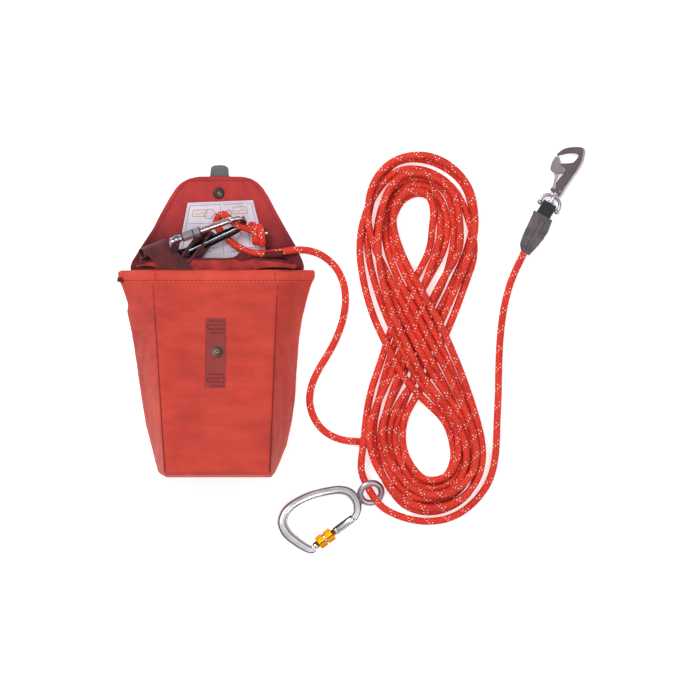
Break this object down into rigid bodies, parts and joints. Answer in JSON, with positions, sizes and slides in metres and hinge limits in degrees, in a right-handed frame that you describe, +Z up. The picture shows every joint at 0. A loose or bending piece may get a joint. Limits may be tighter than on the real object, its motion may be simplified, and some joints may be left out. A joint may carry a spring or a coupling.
{
  "type": "throw rope bag",
  "caption": "Wedge-shaped fabric rope bag with a folding flap and snap, and its rope laid in a hank with carabiners, a ring and a swivel hook clip.",
  "frame": {"origin": "bottom centre of the bag with its open flap, on the floor that it lies on", "axes": "+Y from the bag's base to its mouth and flap, +Z up from the floor, +X to the rope's side"},
  "size_m": [0.5163, 0.4492, 0.092],
  "materials": {
    "coated_fabric": "fine plain weave, coated",
    "maroon_binding": "folded tape",
    "maroon_webbing": "ribbed webbing",
    "snap_metal": "darkened",
    "label_sheet": "smooth printed sheet",
    "grey_webbing": "tight weave",
    "kernmantle_rope": "braided sheath with pale flecks",
    "polished_alloy": "polished",
    "steel_pins": "satin",
    "ring_steel": "satin",
    "orange_anodised": "anodised",
    "grey_sleeve": "heat-set cover",
    "black_webbing": "webbing",
    "grey_anodised": "dark anodised, satin",
    "grey_plastic": "moulded"
  },
  "bodies": {
    "bag": {"back_panel": "coated_fabric", "front_panel": "coated_fabric", "left_gusset": "coated_fabric", "right_gusset": "coated_fabric", "base_panel": "coated_fabric", "mouth_hem": "coated_fabric", "inner_collar": "coated_fabric", "collar_binding": "maroon_binding", "front_webbing_tab": "maroon_webbing", "snap_stud": "snap_metal", "stud_rivet": "snap_metal", "side_tag": "maroon_binding"},
    "flap": {"flap_shell": "coated_fabric", "flap_lining": "coated_fabric", "instruction_label": "label_sheet", "pull_tab": "grey_webbing", "snap_socket": "snap_metal", "snap_cap": "snap_metal"},
    "line": {"rope_lead": "kernmantle_rope", "rope_tail": "kernmantle_rope", "rope_hank": "kernmantle_rope", "stopper_knot": "kernmantle_rope", "anchor_strap": "maroon_webbing", "carabiner_loop": "maroon_webbing", "rope_keeper": "maroon_webbing", "anchor_carabiner_frame": "polished_alloy", "anchor_carabiner_gate_pin": "steel_pins", "end_sleeve": "grey_sleeve", "end_webbing_loop": "black_webbing"},
    "anchor_gate": {"anchor_carabiner_gate": "polished_alloy"},
    "anchor_sleeve": {"anchor_carabiner_sleeve": "steel_pins"},
    "ring": {"rope_ring": "ring_steel"},
    "lock_frame": {"lock_carabiner_frame": "polished_alloy", "lock_carabiner_gate_pin": "steel_pins"},
    "lock_gate": {"lock_carabiner_gate": "polished_alloy"},
    "lock_sleeve": {"lock_carabiner_sleeve": "orange_anodised"},
    "shackle": {"clip_shackle": "polished_alloy", "shackle_bar": "polished_alloy"},
    "hook": {"swivel_post": "polished_alloy", "clip_hook": "grey_anodised", "hook_rivets": "steel_pins", "hook_gate_pin": "steel_pins"},
    "hook_gate": {"hook_gate": "grey_anodised", "hook_gate_pad": "grey_plastic"}
  },
  "joints": [
    {"name": "line_lift", "type": "slide", "parent": "bag", "child": "line", "axis": [0, 0, 1], "range_m": [0, 0.4]},
    {"name": "flap_fold", "type": "hinge", "parent": "bag", "child": "flap", "pos_m": [0, 0.05, 0.0177], "axis": [1, 0, 0], "range_deg": [0, 163.5]},
    {"name": "ring_slide", "type": "slide", "parent": "line", "child": "ring", "axis": [0.4653, -0.8448, -0.2641], "range_m": [-0.006, 0]},
    {"name": "carabiner_draw", "type": "slide", "parent": "line", "child": "lock_frame", "axis": [-0.8051, -0.5931, 0], "range_m": [0, 0.1]},
    {"name": "lock_gate_open", "type": "hinge", "parent": "lock_frame", "child": "lock_gate", "pos_m": [0.14932, -0.21676, 0.00735], "axis": [0.031, -0.0421, -0.9986], "range_deg": [0, 28], "stiffness_Nm_per_rad": 0.02},
    {"name": "lock_sleeve_slide", "type": "slide", "parent": "lock_gate", "child": "lock_sleeve", "axis": [-0.8051, -0.5931, 0], "range_m": [0, 0.0055]},
    {"name": "anchor_gate_open", "type": "hinge", "parent": "line", "child": "anchor_gate", "pos_m": [0.01468, 0.10903, 0.0384], "axis": [0.2849, -0.7988, 0.5299], "range_deg": [0, 20], "stiffness_Nm_per_rad": 0.02},
    {"name": "anchor_sleeve_slide", "type": "slide", "parent": "anchor_gate", "child": "anchor_sleeve", "axis": [-0.9419, -0.336, 0], "range_m": [0, 0.005]},
    {"name": "shackle_swing", "type": "hinge", "parent": "line", "child": "shackle", "pos_m": [0.3643, 0.1254, 0.0046], "axis": [0.8601, -0.5101, 0], "range_deg": [0, 60]},
    {"name": "clip_swivel", "type": "hinge", "parent": "shackle", "child": "hook", "pos_m": [0.3643, 0.1254, 0.0046], "axis": [0.5101, 0.8601, 0], "continuous": true},
    {"name": "hook_gate_open", "type": "hinge", "parent": "hook", "child": "hook_gate", "pos_m": [0.37117, 0.14679, 0.0046], "axis": [0, 0, -1], "range_deg": [0, 20], "stiffness_Nm_per_rad": 0.02}
  ],
  "couplings": [
    {"joint": "flap_fold", "follows": "line_lift", "rad_per_m": 7.1333}
  ]
}
